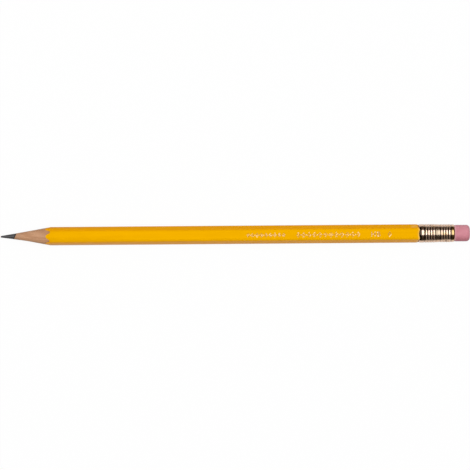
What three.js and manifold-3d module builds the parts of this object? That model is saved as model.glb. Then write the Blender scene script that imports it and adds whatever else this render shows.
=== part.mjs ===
// A sharpened hexagonal wood-cased pencil with a ferrule and an eraser, in millimetres, +Z up.
// It lies along X on one of its flats, point towards -X, with the origin under the middle of its length.
import * as THREE from "three";
import { mergeVertices } from "three/addons/utils/BufferGeometryUtils.js";
import Module from "manifold-3d";

const wasm = await Module();
wasm.setup();

// Whole pencil
const OVERALL_LENGTH = 190;
const BOND_GAP = 0.02; // left between faces that are glued or coated
const SEAT_GAP = 0.05; // left where the ferrule meets the shoulder and the eraser's head

// Case: two half slats under lacquer
const ACROSS_FLATS = 6.8; // over the lacquer
const CORNER_RADIUS = 1.4; // over the lacquer
const LACQUER_THICKNESS = 0.12;
const GLUE_THICKNESS = 0.08;

// Core and sharpened point
const CORE_DIAMETER = 2.2;
const SHARPENED_HALF_ANGLE = 9.7; // degrees between the cone and the axis
const POINT_RADIUS = 0.18; // the rounding of the very tip

// Tenon under the ferrule
const TENON_LENGTH = 6.6;
const SHOULDER_HALF_ANGLE = 55; // degrees between the shoulder's bevel and the axis
const FERRULE_CLEARANCE = 0.06; // radial, between the ferrule's bore and what it holds

// Ferrule: collar, beads, smooth band, beads, collar
const FERRULE_WOOD_DIAMETER = 7.46; // over the bead crests at the wood
const FERRULE_ERASER_DIAMETER = 7.2; // over the bead crests at the eraser
const FERRULE_WALL = 0.3;
const WOOD_COLLAR = 2.4;
const ERASER_COLLAR = 1.5;
const SMOOTH_BAND = 2.1;
const BEADS_IN_A_BAND = 4;
const BEAD_PITCH = 1.04;
const BEAD_HEIGHT = 0.14;
const BAND_FLANK = 0.22; // the slope at the edge of a collar or of the smooth band
const RIM_RADIUS = 0.2;

// Eraser
const ERASER_DIAMETER = 6.68;
const ERASER_EXPOSED = 6.25;
const ERASER_EDGE_RADIUS = 1.45;
const ERASER_END_GAP = 0.1; // between the tenon's end and the eraser's shank

// Facets
const ROUND_SEGMENTS = 40;
const CORNER_STEPS = 2; // the curve divisions that each rounded corner is drawn with
const OUTER_BEAD_STEPS = 4;
const INNER_BEAD_STEPS = 2;
const ARC_STEPS = 4;
const WELD_DISTANCE = 1e-4;

const HEXAGON_SIDES = 6;
const HALF_CORNER = Math.PI / HEXAGON_SIDES;

// Sections worked out from the sizes above
const coreRadius = CORE_DIAMETER / 2;
const glueBoreRadius = coreRadius + BOND_GAP;
const glueSleeveRadius = glueBoreRadius + GLUE_THICKNESS;
const grooveRadius = glueSleeveRadius + BOND_GAP;
const seamOffset = GLUE_THICKNESS / 2 + BOND_GAP;
const woodInset = LACQUER_THICKNESS + BOND_GAP;
const woodCrest = FERRULE_WOOD_DIAMETER / 2;
const eraserCrest = FERRULE_ERASER_DIAMETER / 2;
const tenonRadius = woodCrest - BEAD_HEIGHT - FERRULE_WALL - FERRULE_CLEARANCE;
const shankRadius = eraserCrest - BEAD_HEIGHT - FERRULE_WALL - FERRULE_CLEARANCE;
const headRadius = ERASER_DIAMETER / 2;
const blankRadius = ACROSS_FLATS; // a turning radius well outside the hexagon
const axisHeight = Math.max(woodCrest, eraserCrest, headRadius, ACROSS_FLATS / 2);

// Stations along the axis, counted from the tip
const sharpenedSlope = Math.tan(THREE.MathUtils.degToRad(SHARPENED_HALF_ANGLE));
const sharpenedSine = Math.sin(THREE.MathUtils.degToRad(SHARPENED_HALF_ANGLE));
const shoulderSlope = Math.tan(THREE.MathUtils.degToRad(SHOULDER_HALF_ANGLE));
const apex = POINT_RADIUS - POINT_RADIUS / sharpenedSine;
const beadBandLength = BEADS_IN_A_BAND * BEAD_PITCH;
const ferruleLength = WOOD_COLLAR + 2 * beadBandLength + SMOOTH_BAND + ERASER_COLLAR;
const eraserHeadStart = OVERALL_LENGTH - ERASER_EXPOSED;
const ferruleEnd = eraserHeadStart - SEAT_GAP;
const ferruleStart = ferruleEnd - ferruleLength;
const shoulder = ferruleStart - SEAT_GAP;
const tenonEnd = shoulder + TENON_LENGTH;
const shankStart = tenonEnd + ERASER_END_GAP;

// Materials
const graphite = new THREE.MeshStandardMaterial({ color: 0x504c4c, roughness: 0.45, metalness: 0.3 });
const cedar = new THREE.MeshStandardMaterial({ color: 0xbe926f, roughness: 0.8, metalness: 0 });
const glue = new THREE.MeshStandardMaterial({ color: 0xd9c9a8, roughness: 0.6, metalness: 0 });
const lacquer = new THREE.MeshStandardMaterial({ color: 0xf4b200, roughness: 0.25, metalness: 0 });
const brass = new THREE.MeshStandardMaterial({ color: 0xd9b98c, roughness: 0.2, metalness: 1 });
const rubber = new THREE.MeshStandardMaterial({ color: 0xd08a94, roughness: 0.85, metalness: 0 });

function solidFrom(geometry) {
  const bare = geometry.clone();
  bare.deleteAttribute("normal");
  bare.deleteAttribute("uv");
  const welded = mergeVertices(bare, WELD_DISTANCE);
  const mesh = new wasm.Mesh({
    numProp: 3,
    vertProperties: welded.attributes.position.array,
    triVerts: new Uint32Array(welded.index.array),
  });
  return new wasm.Manifold(mesh);
}

function geometryFrom(solid) {
  const mesh = solid.getMesh();
  const geometry = new THREE.BufferGeometry();
  geometry.setAttribute("position", new THREE.BufferAttribute(mesh.vertProperties, 3));
  geometry.setIndex(new THREE.BufferAttribute(mesh.triVerts, 1));
  geometry.computeVertexNormals();
  return geometry;
}

const at = (radius, station) => new THREE.Vector2(radius, station);

// A solid of revolution about the pencil's axis, from points of radius and station.
function turned(outline) {
  return new THREE.LatheGeometry(outline, ROUND_SEGMENTS).rotateX(Math.PI / 2);
}

function rod(radius, start, end) {
  return turned([at(0, start), at(radius, start), at(radius, end), at(0, end)]);
}

// Points of a quarter round from one angle to another, without its first point.
function arcPoints(centreRadius, centreStation, radius, fromAngle, toAngle) {
  const points = [];
  for (let step = 1; step <= ARC_STEPS; step += 1) {
    const angle = THREE.MathUtils.lerp(fromAngle, toAngle, step / ARC_STEPS);
    points.push(at(centreRadius + radius * Math.cos(angle), centreStation + radius * Math.sin(angle)));
  }
  return points;
}

// A hexagon with rounded corners at left and right and flats at top and bottom, set in by some depth.
function hexagon(inset) {
  const outline = new THREE.Path();
  const radius = CORNER_RADIUS - inset;
  const reach = (ACROSS_FLATS / 2 - CORNER_RADIUS) / Math.cos(HALF_CORNER);
  for (let corner = 0; corner < HEXAGON_SIDES; corner += 1) {
    const facing = 2 * corner * HALF_CORNER;
    const across = reach * Math.cos(facing);
    const up = reach * Math.sin(facing);
    outline.absarc(across, up, radius, facing - HALF_CORNER, facing + HALF_CORNER, false);
  }
  outline.closePath();
  return outline;
}

function prism(inset, boreInset, end) {
  const shape = new THREE.Shape(hexagon(inset).getPoints(CORNER_STEPS));
  if (boreInset !== null) {
    shape.holes.push(new THREE.Path(hexagon(boreInset).getPoints(CORNER_STEPS)));
  }
  return new THREE.ExtrudeGeometry(shape, { depth: end, bevelEnabled: false });
}

// What the sharpener and the shoulder cutter leave: a cone, a long blank, a bevel and a round tenon.
function turnedBlank() {
  return turned([
    at(0, apex),
    at(blankRadius, apex + blankRadius / sharpenedSlope),
    at(blankRadius, shoulder - (blankRadius - tenonRadius) / shoulderSlope),
    at(tenonRadius, shoulder),
    at(tenonRadius, tenonEnd),
    at(0, tenonEnd),
  ]);
}

const blank = solidFrom(turnedBlank());
const woodHexagon = solidFrom(prism(woodInset, null, tenonEnd));
const wood = woodHexagon.intersect(blank);

// side is 1 for the upper slat and -1 for the lower one
function slatGeometry(side) {
  const depth = blankRadius;
  const half = new THREE.BoxGeometry(2 * blankRadius, depth, 2 * tenonEnd);
  half.translate(0, side * (depth / 2 + seamOffset), 0);
  const groove = rod(grooveRadius, apex, tenonEnd + TENON_LENGTH);
  const slat = wood.intersect(solidFrom(half)).subtract(solidFrom(groove));
  return geometryFrom(slat);
}

function glueGeometry() {
  const strip = new THREE.BoxGeometry(2 * blankRadius, GLUE_THICKNESS, 2 * tenonEnd);
  const sleeve = solidFrom(rod(glueSleeveRadius, apex, tenonEnd));
  const bore = solidFrom(rod(glueBoreRadius, apex - POINT_RADIUS, tenonEnd + TENON_LENGTH));
  const film = solidFrom(strip).add(sleeve).intersect(wood).subtract(bore);
  return geometryFrom(film);
}

function lacquerGeometry() {
  const tube = solidFrom(prism(0, LACQUER_THICKNESS, shoulder));
  return geometryFrom(tube.intersect(blank));
}

function coreGeometry() {
  const tangent = THREE.MathUtils.degToRad(SHARPENED_HALF_ANGLE);
  return turned([
    at(0, 0),
    ...arcPoints(0, POINT_RADIUS, POINT_RADIUS, -Math.PI / 2, -tangent),
    at(coreRadius, apex + coreRadius / sharpenedSlope),
    at(coreRadius, tenonEnd),
    at(0, tenonEnd),
  ]);
}

// One row of beads: convex rings that meet in sharp valleys, without the first valley.
function beadPoints(crest, start, steps) {
  const valley = crest - BEAD_HEIGHT;
  const points = [];
  for (let step = 1; step <= BEADS_IN_A_BAND * steps; step += 1) {
    const rise = Math.abs(Math.sin((Math.PI * step) / steps));
    points.push(at(valley + BEAD_HEIGHT * rise, start + (BEAD_PITCH * step) / steps));
  }
  return points;
}

// The ferrule's face from wood to eraser between its two rims: the outer face, or the bore at one wall's depth.
function ferruleFace(depth, steps) {
  const woodSide = woodCrest - depth;
  const eraserSide = eraserCrest - depth;
  const woodBeads = ferruleStart + WOOD_COLLAR;
  const band = woodBeads + beadBandLength;
  const eraserBeads = band + SMOOTH_BAND;
  const eraserCollar = eraserBeads + beadBandLength;
  return [
    at(woodSide, woodBeads - BAND_FLANK),
    at(woodSide - BEAD_HEIGHT, woodBeads),
    ...beadPoints(woodSide, woodBeads, steps),
    at(woodSide, band + BAND_FLANK),
    at(eraserSide, eraserBeads - BAND_FLANK),
    at(eraserSide - BEAD_HEIGHT, eraserBeads),
    ...beadPoints(eraserSide, eraserBeads, steps),
    at(eraserSide, eraserCollar + BAND_FLANK),
  ];
}

function ferruleGeometry() {
  const woodRim = at(woodCrest - RIM_RADIUS, ferruleStart);
  const outline = [
    woodRim,
    ...arcPoints(woodCrest - RIM_RADIUS, ferruleStart + RIM_RADIUS, RIM_RADIUS, -Math.PI / 2, 0),
    ...ferruleFace(0, OUTER_BEAD_STEPS),
    at(eraserCrest, ferruleEnd - RIM_RADIUS),
    ...arcPoints(eraserCrest - RIM_RADIUS, ferruleEnd - RIM_RADIUS, RIM_RADIUS, 0, Math.PI / 2),
    at(eraserCrest - FERRULE_WALL, ferruleEnd),
    ...ferruleFace(FERRULE_WALL, INNER_BEAD_STEPS).reverse(),
    at(woodCrest - FERRULE_WALL, ferruleStart),
    woodRim,
  ];
  return turned(outline);
}

function eraserGeometry() {
  const flatRadius = headRadius - ERASER_EDGE_RADIUS;
  const edgeStart = OVERALL_LENGTH - ERASER_EDGE_RADIUS;
  return turned([
    at(0, shankStart),
    at(shankRadius, shankStart),
    at(shankRadius, eraserHeadStart),
    at(headRadius, eraserHeadStart),
    at(headRadius, edgeStart),
    ...arcPoints(flatRadius, edgeStart, ERASER_EDGE_RADIUS, 0, Math.PI / 2),
    at(0, OVERALL_LENGTH),
  ]);
}

const pencil = new THREE.Group();

function addPiece(name, geometry, material) {
  const piece = new THREE.Mesh(geometry, material);
  piece.name = name;
  pencil.add(piece);
}

addPiece("graphite_core", coreGeometry(), graphite);
addPiece("upper_slat", slatGeometry(1), cedar);
addPiece("lower_slat", slatGeometry(-1), cedar);
addPiece("glue_film", glueGeometry(), glue);
addPiece("lacquer_coat", lacquerGeometry(), lacquer);
addPiece("ferrule", ferruleGeometry(), brass);
addPiece("eraser", eraserGeometry(), rubber);

// The pieces are drawn with the section in x and y and the length along z: lay that length along X.
const alongY = new THREE.Vector3(0, 1, 0);
const alongZ = new THREE.Vector3(0, 0, 1);
const alongX = new THREE.Vector3(1, 0, 0);
pencil.setRotationFromMatrix(new THREE.Matrix4().makeBasis(alongY, alongZ, alongX));
pencil.position.set(-OVERALL_LENGTH / 2, 0, axisHeight);

const part = new THREE.Group();
part.add(pencil);

export default part;
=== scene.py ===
"""A sharpened yellow pencil with a beaded ferrule and a pink eraser, on a white table under one softbox.

Metres, +Z up. The pencil lies along X, its point towards -X, and the camera looks down on its upper flat.
Angles round the pencil are counted from +Y towards +Z, so its corners lie at 0, 60, 120 degrees and so on.
"""
import math

import bmesh
import bpy
import numpy as np
from mathutils import Color, Matrix, Vector


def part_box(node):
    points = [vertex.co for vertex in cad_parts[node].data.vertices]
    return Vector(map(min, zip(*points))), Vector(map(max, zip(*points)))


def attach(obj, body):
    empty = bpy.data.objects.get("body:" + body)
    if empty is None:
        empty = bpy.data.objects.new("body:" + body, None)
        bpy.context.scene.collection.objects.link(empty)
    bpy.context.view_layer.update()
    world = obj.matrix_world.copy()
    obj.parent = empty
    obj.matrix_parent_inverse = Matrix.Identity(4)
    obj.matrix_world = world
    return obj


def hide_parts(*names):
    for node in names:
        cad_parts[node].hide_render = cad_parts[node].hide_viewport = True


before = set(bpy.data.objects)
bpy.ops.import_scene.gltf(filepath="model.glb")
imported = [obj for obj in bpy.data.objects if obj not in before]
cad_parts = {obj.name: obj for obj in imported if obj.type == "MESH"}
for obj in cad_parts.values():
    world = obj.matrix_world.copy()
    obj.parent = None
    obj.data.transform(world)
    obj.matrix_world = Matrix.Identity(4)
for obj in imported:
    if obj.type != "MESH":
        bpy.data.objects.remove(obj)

MM = 0.001
FULL_TURN = 2 * math.pi
X, Y, Z = range(3)
BODY = "root"

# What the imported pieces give
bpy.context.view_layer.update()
LEAD_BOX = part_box("graphite_core")
SLAT_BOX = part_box("upper_slat")
LACQUER_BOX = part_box("lacquer_coat")
FERRULE_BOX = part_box("ferrule")
ERASER_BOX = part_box("eraser")
TIP_X = LEAD_BOX[0].x
LEAD_END_X = LEAD_BOX[1].x
SLAT_END_X = SLAT_BOX[1].x
FERRULE_START_X = FERRULE_BOX[0].x
FERRULE_END_X = FERRULE_BOX[1].x
SHANK_START_X = ERASER_BOX[0].x
ERASER_END_X = ERASER_BOX[1].x
AXIS_Z = (FERRULE_BOX[0].z + FERRULE_BOX[1].z) / 2
CORE_RADIUS = (LEAD_BOX[1].y - LEAD_BOX[0].y) / 2
FLAT_RADIUS = (LACQUER_BOX[1].z - LACQUER_BOX[0].z) / 2
WOOD_CREST = (FERRULE_BOX[1].z - FERRULE_BOX[0].z) / 2
HEAD_RADIUS = (ERASER_BOX[1].y - ERASER_BOX[0].y) / 2

# Case: two slats, their glue and the lacquer
SIDES = 6
HALF_SECTOR = math.pi / SIDES
CORNER_RADIUS = 1.4 * MM
LACQUER_THICKNESS = 0.12 * MM
GLUE_THICKNESS = 0.08 * MM
CONTACT = 0.002 * MM  # left between faces that touch
CORNER_COLUMNS = 10
FACE_COLUMNS = 18
SAME_ANGLE = 0.001  # angles that are closer than this count as one
SLAT_ROWS = 24
LACQUER_ROWS = 60
LACQUER_CROWDING = 0.25  # below 1 they crowd towards the ferrule
LACQUER_INNER_ROWS = 15
LACQUER_CUT_ROWS = 5
LIGHTER_TOP_UP = (0.75, 0.97)  # heights where the painted lighter top sets in and is full, in flat radii
HELD_SHADED_SIDE = (1.9 * MM, 2.8 * MM)  # the same for the polish that fingers gave it, towards -Y, where shade is also painted darker
RUBBED_PLACE = (TIP_X + 167.4 * MM, 2.9 * MM, AXIS_Z + 1.7 * MM)  # a bare patch by the ferrule
RUBBED_SIZE = (1.5 * MM, 0.9 * MM, 1.3 * MM)

# Sharpened end
SHARPENED_HALF_ANGLE = math.radians(9.7)
POINT_RADIUS = 0.18 * MM
APEX_X = TIP_X + POINT_RADIUS - POINT_RADIUS / math.sin(SHARPENED_HALF_ANGLE)
POINT_BULGE = 0.15 * MM  # the worn lead is a little fuller than its cone
POINT_SWELL = 0.03  # and swells in about this share of the cone
POINT_SHIFT = 0.07 * MM  # it is worn more on its +Y side
CORE_SHIFT = 0.08 * MM  # the lead lies a little off the axis, towards +Y
SHARPENING_WAVES = (  # beats in a turn, share of the slope, phase
    (2, 0.01, math.pi / 2),
    (3, 0.004, 2.1),
    (7, 0.003, 5.0),
    (19, 0.0018, 1.3),
    (43, 0.0012, 3.7),
)
HOLLOW_DEPTH = 0.13 * MM  # where the blade dug into the wood on the -Y side
HOLLOW_SKEW = 0.75  # below 1 it lies nearer the lead
LACQUER_CUT_ANGLE = math.radians(18)  # the brittle coat breaks more steeply than the wood is cut
PAINT_DIRT_SHADE_LENGTH = 0.45 * MM  # dirt and painted shade on the wood along the paint's cut edge
PAINT_DIRT_SHADE_CORNER = 0.5 * HALF_SECTOR  # how far round a corner it is strong
PAINT_DIRT_SHADE_ON_FLATS = 0.3  # beside 1 at the corners
SMUDGE_FROM_TIP = (5 * MM, 10 * MM)  # where the graphite rubbed into the wood thins out
CORE_COLUMNS = 96
CONE_ROWS = 70
TIP_ROWS = 8

# Shoulder and tenon at the ferrule
SHOULDER_GAP = 0.05 * MM
SHOULDER_X = FERRULE_START_X - SHOULDER_GAP
BEVEL_DEPTH = 0.08 * MM  # least depth of the bevel at the ferrule
NECK_RADIUS = 3.42 * MM
NECK_LENGTH = 0.3 * MM
TENON_RADIUS = 3.23 * MM
PAINT_END_GAP = 0.29 * MM  # from the paint's edge to the ferrule, on average
PAINT_END_WAVES = (  # beats in a turn, length, phase
    (2, 0.51 * MM, -math.pi / 2),
    (4, 0.16 * MM, -math.pi / 2),
    (6, 0.143 * MM, math.pi / 2),
    (13, 0.02 * MM, 4.2),
    (31, 0.015 * MM, 2.6),
)
END_WEAR_LENGTH = 0.16 * MM  # how far from its end the paint is chipped
BEVEL_GRIME_AND_SHADE = (0.22 * MM, 0.5 * MM)  # from the ferrule's rim, where the grime and painted shade on the bevel thin out
FAR_SIDE = (2.0 * MM, 3.0 * MM)  # across these, towards +Y, the grime and painted shade spread and the paint's end turns whole
FAR_GRIME_AND_SHADE = 0.45 * MM  # how much further they reach there
BEVEL_ROWS = 6
TENON_ROWS = 4

# Ferrule
WOOD_COLLAR = 2.4 * MM
ERASER_COLLAR = 1.5 * MM
SMOOTH_BAND = 2.1 * MM
BEADS_IN_A_BAND = 4
BEAD_PITCH = 1.04 * MM
FERRULE_SIZES = {  # the inputs of its geometry tree
    "Start": FERRULE_START_X,
    "Length": FERRULE_END_X - FERRULE_START_X,
    "Axis Height": AXIS_Z,
    "Wood Crest": WOOD_CREST,
    "Eraser Crest": 3.64 * MM,  # radius over the beads at the eraser
    "Wall": 0.22 * MM,
    "Wood Collar": WOOD_COLLAR,
    "Smooth Band": SMOOTH_BAND,
    "Beads": float(BEADS_IN_A_BAND),
    "Bead Pitch": BEAD_PITCH,
    "Bead Height": 0.16 * MM,
    "Plain Drop": 0.08 * MM,  # how far the smooth band and the eraser's collar lie below the crests
    "Collar Flank": 0.85 * MM,  # the slope between beads and a collar
    "Long Flank": 1.0 * MM,  # between the wood's beads and the smooth band
    "Short Flank": 0.5 * MM,  # between the smooth band and the eraser's beads
    "Rim Tuck": 0.15 * MM,  # how far the rim at the wood bends in
    "Rim Tuck Length": 0.9 * MM,
    "End Tuck": 0.18 * MM,  # and the rim at the eraser
    "End Tuck Length": 0.5 * MM,
}
BEAD_ROUNDNESS = 2.2  # 2 gives a bead the section of a parabola, and more a blunter one
CREST_STEP = (0.2, 0.8)  # shares of the smooth band between which the tube narrows
COLLAR_SHINE = 0.8  # the wood collar's brightness beside the bead crests' 1
SMOOTH_SHINE = 0.9  # the smooth band's
SMOOTH_VALLEY_SHINE = 0.6  # the share of it that is left at the wood's beads
RIM_DARK_REACH = (0.85 * MM, 1.25 * MM)  # along the tube, where the dark reflection painted on the wood's rim thins out
RIM_DARK_UP = (0.62, 0.8)  # heights where it sets in and is full, as shares of the radius
VALLEY_UP = (0.5, 0.72)  # the same for the dirt and painted shade between the beads and the painted golden highlight on the eraser's collar
BAND_HIGHLIGHT_UP = (0.74, 0.92)  # and for the painted highlight on the smooth band: a cream tint, dimmed
BAND_HIGHLIGHT_FADE = (0.2, 0.7)  # shares of the band between which that eases
GOLD_HIGHLIGHT_FROM_END = (ERASER_COLLAR, 0.6 * ERASER_COLLAR)  # where the collar's painted golden highlight sets in and is full
DIMPLE = {"depth": 0.28 * MM, "along": 0.42 * MM, "around": 0.42 * MM, "dirt": 1.0}
PRESSED = {"depth": 0.1 * MM, "along": 2.4 * MM, "around": 1.0 * MM, "dirt": 0.0}
DENTS = (  # length from the tip, degrees round the pencil, punched dimple or the flat its tool pressed
    (180.4 * MM, 150, DIMPLE),
    (180.4 * MM, 150, PRESSED),
    (180.4 * MM, 330, DIMPLE),
    (180.4 * MM, 330, PRESSED),
    (174.0 * MM, 204, DIMPLE),
    (174.0 * MM, 24, DIMPLE),
)
FERRULE_OUTER_ROWS = 300
FERRULE_INNER_ROWS = 90
FERRULE_CROWDING = 0.9  # from 0 to 1, how much they crowd at the rims
FERRULE_COLUMNS = 128

# Eraser
ERASER_EXPOSED = 6.25 * MM
HEAD_START_X = ERASER_END_X - ERASER_EXPOSED
SHANK_RADIUS = 2.86 * MM
ERASER_EDGE_RADIUS = 1.42 * MM
ERASER_NECK = 0.18 * MM  # how much the rim squeezes it
ERASER_NECK_LENGTH = 0.18 * MM
ERASER_UNEVENNESS = 0.004  # share of the radius
ERASER_WAVES = ((2, 0.5, 0.3), (3, 0.3, 1.9), (5, 0.2, 4.4))  # beats in a turn, share, phase
ERASER_SHADED_SIDE = (0.08, 0.88)  # towards -Y, where the painted shade sets in and is full, in radii
PALE_RIM_REACH = (0.2 * MM, 0.7 * MM)  # where the pale rubber at the rim ends
ERASER_SMUDGE = 1.0 * MM  # how far from its end it is smudged
ERASER_COLUMNS = 128
ERASER_SIDE_ROWS = 60
ERASER_EDGE_ROWS = 16
ERASER_FACE_ROWS = 8

# Foil marks on the upper flat
FOIL_THICKNESS = 0.012 * MM
FOIL_CENTRE_Y = -0.03 * MM
FOIL_STROKE = 0.22 * MM
FOIL_Z = AXIS_Z + FLAT_RADIUS
DOT_RADIUS = 0.17 * MM
DOT_SIDES = 20
SMALL_ROW = {"from_tip": 99.8 * MM, "count": 9, "pitch": 1.8 * MM, "width": 1.0 * MM, "tall": 1.7 * MM}
LARGE_ROW = {"from_tip": 119.9 * MM, "count": 12, "pitch": 2.2 * MM, "width": 1.3 * MM, "tall": 2.0 * MM}
LAST_MARK = {**LARGE_ROW, "from_tip": 156.8 * MM, "count": 1}
GRADE = "HB"  # the lead's hardness
GRADE_FROM_TIP = 149.8 * MM
GRADE_HEIGHT = 2.0 * MM
GRADE_SPACING = 1.2
CAPITAL_SHARE = 0.7  # a capital's height beside its font's size

# Mesh finish
WELD = 0.0002 * MM
TUBE_WELD = 0.0005 * MM
SHARP_DEGREES = 35
FERRULE_SHARP_DEGREES = 60

# Camera, from the photograph's frame
PHOTO_PIXELS = 470
MM_PER_PIXEL = 0.4051 * MM
CAMERA_DISTANCE = 0.87
CAMERA_TILT = math.radians(3.5)
CAMERA_ROLL = math.radians(0.438)
CAMERA_CLIP = (0.01, 100)
SENSOR_WIDTH = 36
AIM_Y = -0.075 * MM

# Light
SOFTBOX_HEIGHT = 1.25
SOFTBOX_DEGREES = (33.5, 10, 32)  # how far it reaches to +Y, -Y and along X, as seen from the pencil
SOFTBOX_RADIANCE = 2.3
CARD_DEGREES = (43.8, 15.4, 33)  # the same for the bright card that the gloss shows
CARD_RADIANCE = 2.1
CARD_COLOUR = (1.0, 1.06, 1.15)
DOME_RADIANCE = 0.5
ROOM_COLOUR = (1.0, 0.7, 0.48, 1)  # the unlit room, which only the gloss shows
ROOM_ENDS = 0.01  # its radiance off the pencil's ends and beside it, with more on the far side and overhead
ROOM_SIDES = 0.06
ROOM_FAR = 0.035
ROOM_OVERHEAD = 0.04
FLOOR_HALF_SIZE = 30.0
FLOOR_ALBEDO = 0.9
FLOOR_BOUNCE = 0.5  # what the table throws back on the pencil
FLOOR_GLOW = 0.95
FLOOR_GLOSS = 0.73  # how white the gloss shows it
WHITE_REACH = (18 * MM, 36 * MM)  # how far from the pencil the gloss sees a white table
NEAR_SHARE = 0.58  # towards -Y these distances count for less

scene = bpy.context.scene


def colour(code):
    """A linear colour from a hex code as a colour picker shows it."""
    channels = [channel / 255 for channel in bytes.fromhex(code[1:])]
    return (*Color(channels).from_srgb_to_scene_linear(), 1.0)


def grey(level):
    return (level, level, level, 1.0)


def add_object(name, data):
    made = bpy.data.objects.new(name, data)
    scene.collection.objects.link(made)
    return made


# Node graphs

def operator(name, flipped=False):
    """A method that adds this Math node to a value's graph. Flipped, it takes its terms in reverse."""
    def method(value, *others):
        terms = (value, *others)
        return value.graph.maths(name, *(terms[::-1] if flipped else terms))
    return method


class Value:
    """A node's output, with the sums, products and steps that patterns and shapes are written in."""

    def __init__(self, graph, socket):
        self.graph = graph
        self.socket = socket

    __add__ = __radd__ = operator("ADD")
    __sub__ = operator("SUBTRACT")
    __rsub__ = operator("SUBTRACT", flipped=True)
    __mul__ = __rmul__ = operator("MULTIPLY")
    __truediv__ = operator("DIVIDE")
    __pow__ = operator("POWER")
    __abs__ = operator("ABSOLUTE")
    least = operator("MINIMUM")
    most = operator("MAXIMUM")
    over = operator("GREATER_THAN")  # 1 above a limit and 0 below it
    past_whole = operator("FRACT")
    root = operator("SQRT")
    sine = operator("SINE")
    cosine = operator("COSINE")
    exponential = operator("EXPONENT")

    def rise(self, low, high):
        """0 on one side of low, 1 on the other side of high, and a smooth slope between."""
        sockets = {"Value": self, "From Min": low, "From Max": high}
        return self.graph.node("ShaderNodeMapRange", {"interpolation_type": "SMOOTHSTEP"}, sockets)


class Graph:
    """A node tree that is written as expressions."""

    def __init__(self, tree):
        self.tree = tree

    def node(self, kind, settings=None, sockets=None, output=0):
        """Adds a node, sets it up, feeds its sockets and gives one of its outputs."""
        made = self.tree.nodes.new(kind)
        for name, setting in (settings or {}).items():
            setattr(made, name, setting)
        for key, value in (sockets or {}).items():
            self.feed(made.inputs[key], value)
        return Value(self, made.outputs[output]) if made.outputs else None

    def feed(self, socket, value):
        """Links a socket to a value, or to each value of a list, or sets it to a constant."""
        if isinstance(value, list):
            for part in value:
                self.feed(socket, part)
        elif isinstance(value, Value):
            self.tree.links.new(value.socket, socket)
        else:
            socket.default_value = value

    def maths(self, operation, *terms):
        return self.node("ShaderNodeMath", {"operation": operation}, dict(enumerate(terms)))

    def mix(self, where, first, second):
        """A colour between two others, each of them from the graph, or linear, or a hex code."""
        first_colour, second_colour, mixed = 6, 7, 2  # sockets that share their names with others
        first, second = (colour(end) if isinstance(end, str) else end for end in (first, second))
        sockets = {"Factor": where, first_colour: first, second_colour: second}
        return self.node("ShaderNodeMix", {"data_type": "RGBA"}, sockets, mixed)

    def along(self, vector, axis):
        """One of a vector's three parts."""
        return self.node("ShaderNodeSeparateXYZ", None, {"Vector": vector}, axis)

    def vector(self, x, y, z):
        return self.node("ShaderNodeCombineXYZ", None, {"X": x, "Y": y, "Z": z})

    def place(self, axis=None):
        """Where a point lies on the piece, in metres, as a whole or along one axis."""
        spot = self.node("ShaderNodeTexCoord", output="Object")
        return spot if axis is None else self.along(spot, axis)

    def noise(self, length, width, detail=2.0, turn=(0.0, 0.0, 0.0)):
        """Cloudy noise from 0 to 1, in patches of this length along the pencil and this width across it."""
        scale = (1 / length, 1 / width, 1 / width)
        sockets = {"Vector": self.place(), "Scale": scale, "Rotation": turn}
        spot = self.node("ShaderNodeMapping", None, sockets)
        return self.node("ShaderNodeTexNoise", None, {"Vector": spot, "Scale": 1.0, "Detail": detail})

    def spot(self, centre, size):
        """1 round a place on the piece, falling to 0 at this distance along each axis."""
        heart = 0.2
        reach = 0
        for axis in (X, Y, Z):
            away = (self.place(axis) - centre[axis]) / size[axis]
            reach = reach + away * away
        return 1 - reach.rise(heart, 1.0)

    def stored(self, name):
        """A value that the mesh carries at each point."""
        return self.node("ShaderNodeAttribute", {"attribute_name": name}, output="Fac")

    def bump(self, height, depth):
        return self.node("ShaderNodeBump", None, {"Height": height, "Distance": depth})


def empty_graph(owner):
    """The graph of a material or a world, without the nodes that it starts with."""
    owner.use_nodes = True
    owner.node_tree.nodes.clear()
    return Graph(owner.node_tree)


def material(recipe):
    """A material with the name of its recipe, a function that gives the sockets of a Principled shader."""
    made = bpy.data.materials.new(recipe.__name__)
    graph = empty_graph(made)
    shader = graph.node("ShaderNodeBsdfPrincipled", None, recipe(graph))
    graph.node("ShaderNodeOutputMaterial", None, {"Surface": shader})
    return made


# Finishes

def height_share(graph, radius):
    """How high a point lies above the pencil's axis, in radii."""
    return (graph.place(Z) - AXIS_Z) / radius


def far_side(graph):
    """1 on the +Y side of the paint's end and 0 elsewhere."""
    return graph.place(Y).rise(*FAR_SIDE)


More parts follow.
